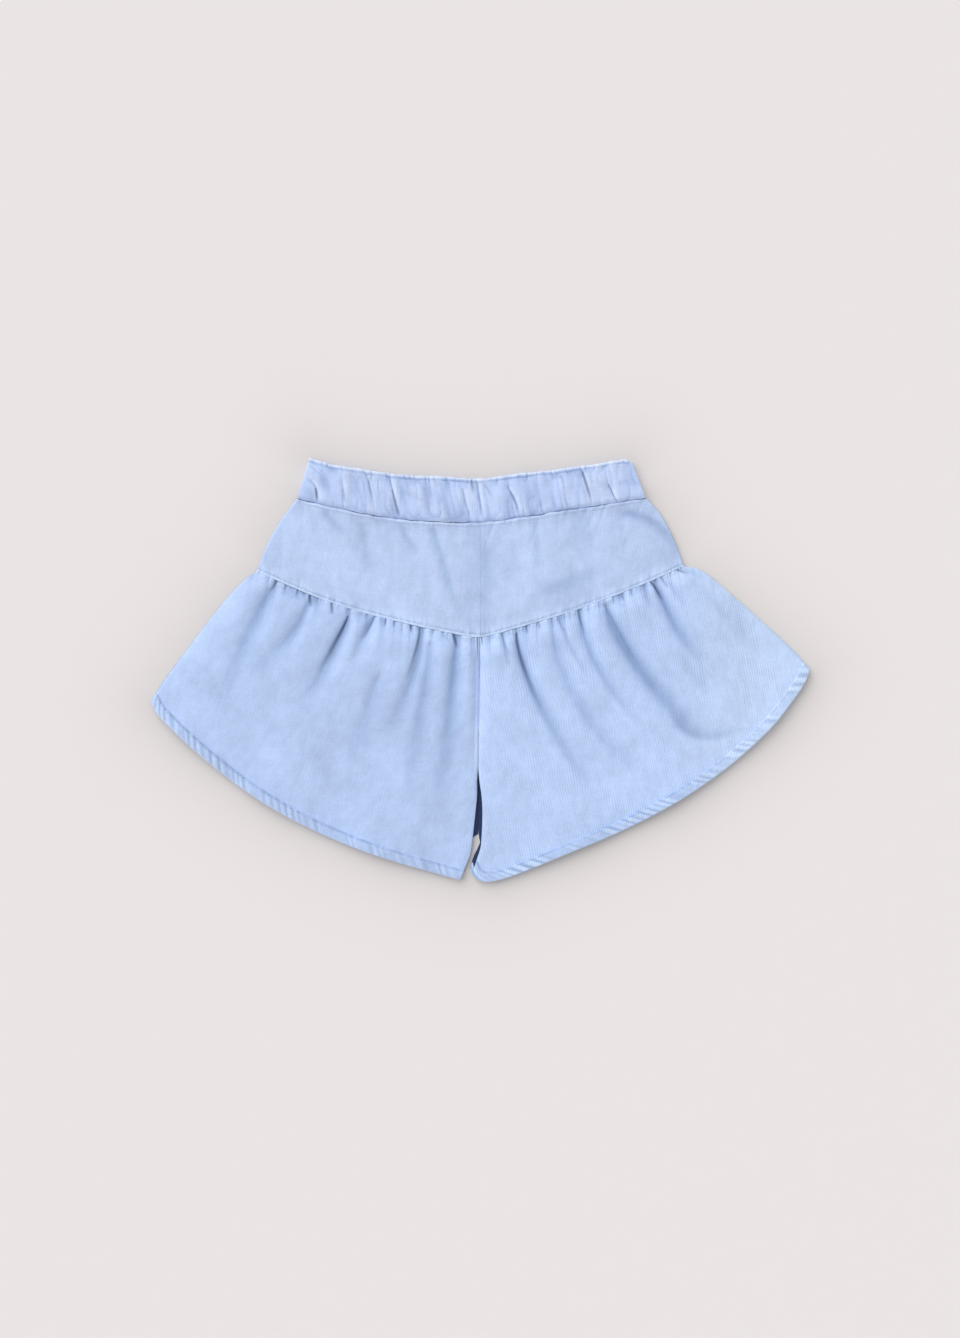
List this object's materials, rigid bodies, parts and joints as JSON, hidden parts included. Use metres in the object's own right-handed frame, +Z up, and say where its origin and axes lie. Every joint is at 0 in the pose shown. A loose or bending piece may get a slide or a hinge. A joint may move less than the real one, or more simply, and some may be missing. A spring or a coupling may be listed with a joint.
{
  "type": "denim shorts",
  "caption": "Child's pull-on denim shorts, laid flat: elastic waistband, V-shaped yoke and gathered, flared legs with a turned hem.",
  "frame": {"origin": "centre of the box's underside, on the surface that the shorts lie on", "axes": "+X to the right of someone looking down at the front, +Y towards the waist, +Z up off the surface, out of the front"},
  "size_m": [0.4612, 0.2966, 0.0094],
  "materials": {
    "denim_band": "washed light blue denim over elastic, puckered, with a whitened top edge",
    "denim_yoke": "washed light blue denim twill, matt",
    "denim_leg": "washed light blue denim twill, matt, with whitened seam and hem edges and an unfaded navy reverse"
  },
  "bodies": {
    "root": {"waistband_front": "denim_band", "waistband_back": "denim_band", "yoke_front_left": "denim_yoke", "yoke_front_right": "denim_yoke", "yoke_back_left": "denim_yoke", "yoke_back_right": "denim_yoke", "leg_front_left": "denim_leg", "leg_front_right": "denim_leg", "leg_back_left": "denim_leg", "leg_back_right": "denim_leg"}
  },
  "joints": []
}
